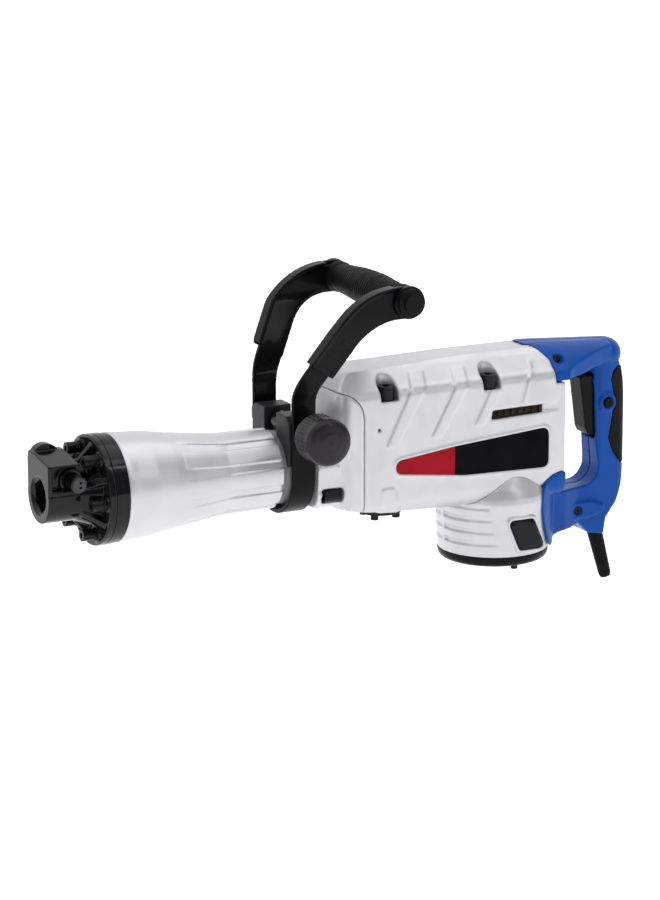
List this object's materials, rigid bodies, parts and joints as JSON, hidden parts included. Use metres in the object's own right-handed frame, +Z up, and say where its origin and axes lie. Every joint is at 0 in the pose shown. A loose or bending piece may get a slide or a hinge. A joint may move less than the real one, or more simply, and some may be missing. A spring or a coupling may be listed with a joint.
{
  "type": "electric demolition hammer",
  "caption": "Corded demolition hammer with a hexagonal shank socket in a bolted nose, ribbed barrel, upright clamp-on side handle, upright motor and rear D-handle.",
  "frame": {"origin": "centre of the hexagonal shank socket in the nose front face, on the tool axis", "axes": "+X along the tool axis from the nose to the rear handle, +Z up, the motor hangs towards -Z, -Y is the tool left side that carries the clamp knob"},
  "size_m": [0.6638, 0.2034, 0.3587],
  "materials": {
    "black_iron": "black enamel on cast iron and steel",
    "shoe_iron": "dark grey phosphated",
    "retainer_steel": "blackened turned steel",
    "steel": "ground steel",
    "silver_paint": "silver paint on die-cast aluminium",
    "rubber": "matt",
    "soft_grip": "soft moulded, satin",
    "black_plastic": "fine spark-eroded texture",
    "gloss_black": "polished",
    "badge": "glossy blank name plate, red front third",
    "blue_plastic": "satin moulded glass-filled nylon",
    "copper": "copper segments",
    "laminated_iron": "varnished laminations and coil ends",
    "brass": "drawn",
    "carbon": "pressed carbon"
  },
  "bodies": {
    "housing": {"front_cover": "black_iron", "retainer_detent": "steel", "front_bolts": "black_iron", "front_washers": "black_iron", "damper_holder": "black_iron", "seal_ring": "black_iron", "tool_sleeve": "steel", "damper_rings": "rubber", "bolt_guide": "steel", "barrel": "silver_paint", "cylinder_liner": "steel", "crank_case": "silver_paint", "shaft_bearings": "steel", "crank_cap": "black_iron", "gear_cover": "silver_paint", "housing_cover": "silver_paint", "housing_screws": "black_iron", "body_screws": "black_iron", "badges": "badge", "vent_grilles": "black_plastic", "motor_housing": "silver_paint", "tail_cover": "black_plastic", "stator": "laminated_iron", "brush_holders": "brass", "carbon_brushes": "carbon", "brush_covers": "gloss_black", "handle_left": "blue_plastic", "handle_right": "blue_plastic", "grip_overmould": "soft_grip", "switch_body": "black_plastic", "cord_guard": "rubber"},
    "retainer": {"retainer_pin": "retainer_steel"},
    "impact_bolt": {"impact_bolt": "steel"},
    "striker": {"striker": "steel", "striker_ring": "rubber"},
    "piston": {"piston": "steel", "piston_rings": "rubber", "piston_pin": "steel"},
    "connecting_rod": {"connecting_rod": "steel"},
    "side_handle": {"handle_frame": "black_iron", "arm_covers": "black_plastic", "grip_core": "steel", "grip_sleeve": "rubber", "grip_end_caps": "black_plastic", "clamp_shoes": "shoe_iron", "clamp_bolt": "retainer_steel", "clamp_spacer": "black_iron"},
    "clamp_knob": {"clamp_knob": "black_plastic"},
    "crank": {"crank_shaft": "steel", "crank_gear": "steel"},
    "gear_shaft_b": {"final_pinion": "steel", "second_gear": "steel"},
    "gear_shaft_a": {"second_pinion": "steel", "first_gear": "steel"},
    "armature": {"armature": "steel", "commutator": "copper", "fan": "black_plastic"},
    "trigger": {"trigger": "black_plastic"},
    "lock_button": {"lock_button": "black_plastic"}
  },
  "joints": [
    {"name": "retainer_turn", "type": "hinge", "parent": "housing", "child": "retainer", "pos_m": [0.027, 0, 0.0165], "axis": [0, 1, 0], "range_deg": [0, 180]},
    {"name": "impact_bolt_slide", "type": "slide", "parent": "housing", "child": "impact_bolt", "axis": [1, 0, 0], "range_m": [-0.012, 0]},
    {"name": "striker_slide", "type": "slide", "parent": "housing", "child": "striker", "axis": [1, 0, 0], "range_m": [-0.0028, 0.0155]},
    {"name": "piston_slide", "type": "slide", "parent": "housing", "child": "piston", "axis": [1, 0, 0], "range_m": [0, 0.038]},
    {"name": "rod_swing", "type": "hinge", "parent": "piston", "child": "connecting_rod", "pos_m": [0.254, 0, 0], "axis": [0, 0, 1], "range_deg": [-10.5, 10.5]},
    {"name": "crank_spin", "type": "hinge", "parent": "housing", "child": "crank", "pos_m": [0.377, 0, 0], "axis": [0, 0, 1], "continuous": true},
    {"name": "gear_shaft_b_spin", "type": "hinge", "parent": "housing", "child": "gear_shaft_b", "pos_m": [0.434, 0, 0], "axis": [0, 0, 1], "continuous": true},
    {"name": "gear_shaft_a_spin", "type": "hinge", "parent": "housing", "child": "gear_shaft_a", "pos_m": [0.47863, 0, 0], "axis": [0, 0, 1], "continuous": true},
    {"name": "armature_spin", "type": "hinge", "parent": "housing", "child": "armature", "pos_m": [0.51087, 0, 0], "axis": [0, 0, 1], "continuous": true},
    {"name": "side_handle_swing", "type": "hinge", "parent": "housing", "child": "side_handle", "pos_m": [0.2675, 0, 0], "axis": [1, 0, 0], "range_deg": [-180, 180]},
    {"name": "clamp_knob_turn", "type": "hinge", "parent": "side_handle", "child": "clamp_knob", "pos_m": [0.2675, -0.069, 0.0455], "axis": [0, 1, 0], "continuous": true},
    {"name": "trigger_squeeze", "type": "hinge", "parent": "housing", "child": "trigger", "pos_m": [0.625, 0, 0.054], "axis": [0, -1, 0], "range_deg": [0, 6], "stiffness_Nm_per_rad": 2, "springref_deg": -2.86},
    {"name": "lock_button_press", "type": "slide", "parent": "housing", "child": "lock_button", "axis": [0, 1, 0], "range_m": [0, 0.002], "stiffness_N_per_m": 800, "springref_m": -0.002}
  ],
  "couplings": [
    {"joint": "gear_shaft_b_spin", "follows": "crank_spin", "ratio": -2.3529},
    {"joint": "gear_shaft_a_spin", "follows": "crank_spin", "ratio": 2.6471},
    {"joint": "armature_spin", "follows": "crank_spin", "ratio": -6.8382}
  ]
}
